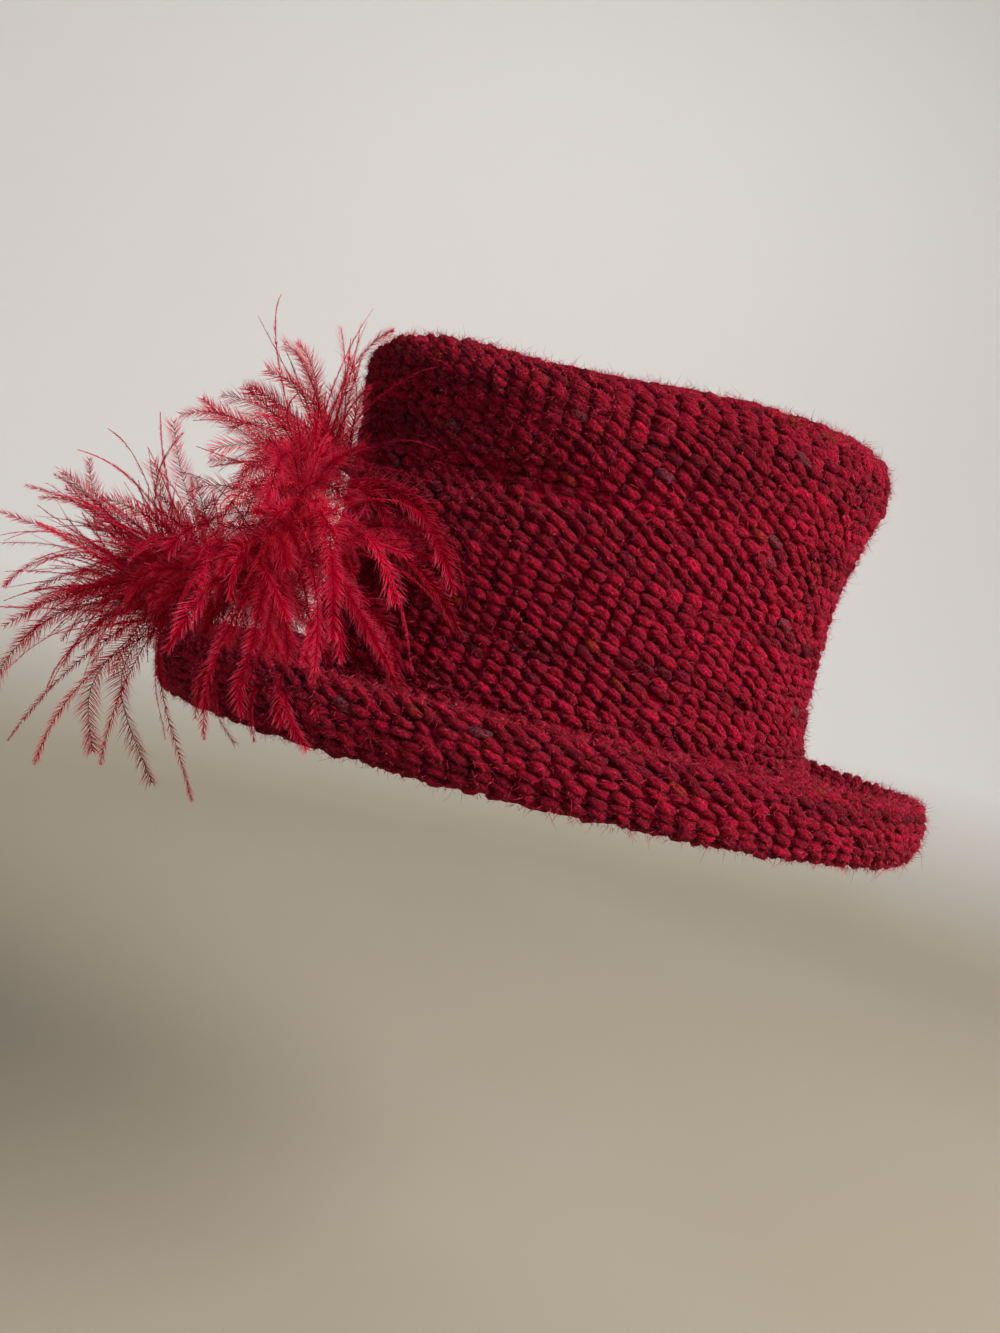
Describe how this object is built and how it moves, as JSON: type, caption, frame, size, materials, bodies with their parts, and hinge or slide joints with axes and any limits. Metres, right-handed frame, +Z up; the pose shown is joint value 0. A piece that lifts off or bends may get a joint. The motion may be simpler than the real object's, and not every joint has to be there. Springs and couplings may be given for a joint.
{
  "type": "feathered hat",
  "caption": "Knitted wool hat with a tall crown, a rolled brim and a bunch of ostrich boa feathers at its front left",
  "frame": {"origin": "the middle of the head opening, level with the join of crown and brim", "axes": "+Z up along the crown, -Y to the front of the hat, +X to the wearer's left"},
  "size_m": [0.266, 0.3914, 0.1964],
  "materials": {
    "tweed_wool": "bulky hand-knitted tweed wool, cherry red with charcoal, grey and amber flecks",
    "ostrich": "dyed crimson ostrich fronds bound to a cotton core"
  },
  "bodies": {
    "root": {"crown": "tweed_wool", "brim": "tweed_wool", "boa_core": "ostrich", "upper_tuft": "ostrich", "lower_tuft": "ostrich", "front_tuft": "ostrich"}
  },
  "joints": []
}
